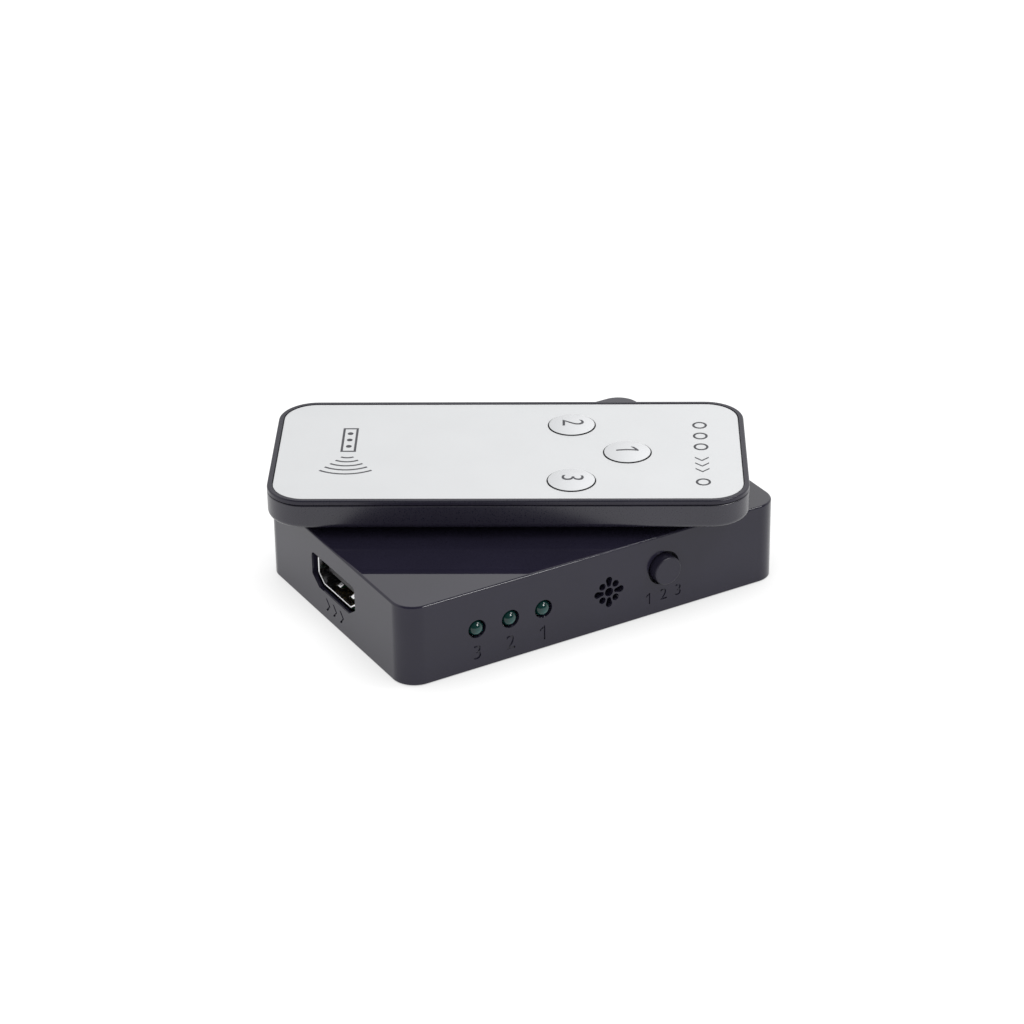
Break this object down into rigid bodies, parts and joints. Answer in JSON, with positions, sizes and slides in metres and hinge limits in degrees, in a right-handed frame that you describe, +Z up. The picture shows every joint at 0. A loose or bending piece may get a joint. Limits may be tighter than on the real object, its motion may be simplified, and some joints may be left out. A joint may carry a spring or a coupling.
{
  "type": "hdmi switch box",
  "caption": "Small dark plastic video switch box with its slim silver-faced card remote lying askew across the top.",
  "frame": {"origin": "middle of the box's underside, on the surface it stands on", "axes": "+X along the front to the right, +Y from the front to the back, +Z up"},
  "size_m": [0.089, 0.0738, 0.0236],
  "materials": {
    "case_plastic": "dark grey moulded plastic, glossy roof",
    "cover_plastic": "dark grey moulded plastic, fine grain",
    "screw_steel": "zinc-plated",
    "board_green": "green solder mask",
    "shell_steel": "tin-plated steel sheet",
    "insert_black": "black moulded plastic",
    "contact_brass": "gold-flashed spring brass",
    "chip_black": "moulded package",
    "capacitor_tan": "ceramic",
    "indicator_green": "clear dark green resin",
    "receiver_black": "dark resin",
    "remote_plastic": "dark grey moulded plastic, satin",
    "face_silver": "pale silver satin face",
    "key_silver": "pale silver crowned keys, printed numerals",
    "sender_lens": "dark violet clear resin",
    "cell_steel": "nickel-plated steel"
  },
  "bodies": {
    "box": {"top_cover": "case_plastic", "bottom_cover": "cover_plastic", "cover_screws": "screw_steel", "main_board": "board_green", "hdmi_output_shell": "shell_steel", "hdmi_output_insert": "insert_black", "hdmi_output_contacts": "contact_brass", "hdmi_input_1_shell": "shell_steel", "hdmi_input_1_insert": "insert_black", "hdmi_input_1_contacts": "contact_brass", "hdmi_input_2_shell": "shell_steel", "hdmi_input_2_insert": "insert_black", "hdmi_input_2_contacts": "contact_brass", "hdmi_input_3_shell": "shell_steel", "hdmi_input_3_insert": "insert_black", "hdmi_input_3_contacts": "contact_brass", "switch_chip": "chip_black", "control_chip": "chip_black", "voltage_regulator": "chip_black", "chip_capacitors": "capacitor_tan", "indicator_led_1": "indicator_green", "indicator_led_2": "indicator_green", "indicator_led_3": "indicator_green", "ir_receiver": "receiver_black", "tact_switch": "chip_black", "supply_inlet": "insert_black", "supply_pin": "shell_steel"},
    "select_button": {"select_button": "case_plastic", "tact_plunger": "insert_black"},
    "remote": {"remote_lower_shell": "remote_plastic", "remote_upper_frame": "remote_plastic", "remote_face": "face_silver", "remote_board": "board_green", "remote_chip": "chip_black", "remote_ir_led": "sender_lens", "snap_dome_1": "shell_steel", "snap_dome_2": "shell_steel", "snap_dome_3": "shell_steel", "battery_contacts": "contact_brass"},
    "key_1": {"key_1": "key_silver"},
    "key_2": {"key_2": "key_silver"},
    "key_3": {"key_3": "key_silver"},
    "battery_tray": {"battery_tray": "remote_plastic", "coin_cell": "cell_steel"}
  },
  "joints": [
    {"name": "remote_lift", "type": "slide", "parent": "box", "child": "remote", "axis": [0, 0, 1], "range_m": [0, 0.08]},
    {"name": "select_press", "type": "slide", "parent": "box", "child": "select_button", "axis": [0, 1, 0], "range_m": [0, 0.0004], "stiffness_N_per_m": 1000},
    {"name": "key_1_press", "type": "slide", "parent": "remote", "child": "key_1", "axis": [0, 0, -1], "range_m": [0, 0.00035], "stiffness_N_per_m": 1000, "deforming": ["snap_dome_1"]},
    {"name": "key_2_press", "type": "slide", "parent": "remote", "child": "key_2", "axis": [0, 0, -1], "range_m": [0, 0.00035], "stiffness_N_per_m": 1000, "deforming": ["snap_dome_2"]},
    {"name": "key_3_press", "type": "slide", "parent": "remote", "child": "key_3", "axis": [0, 0, -1], "range_m": [0, 0.00035], "stiffness_N_per_m": 1000, "deforming": ["snap_dome_3"]},
    {"name": "tray_slide", "type": "slide", "parent": "remote", "child": "battery_tray", "axis": [-0.8517, 0.524, 0], "range_m": [0, 0.028]}
  ]
}
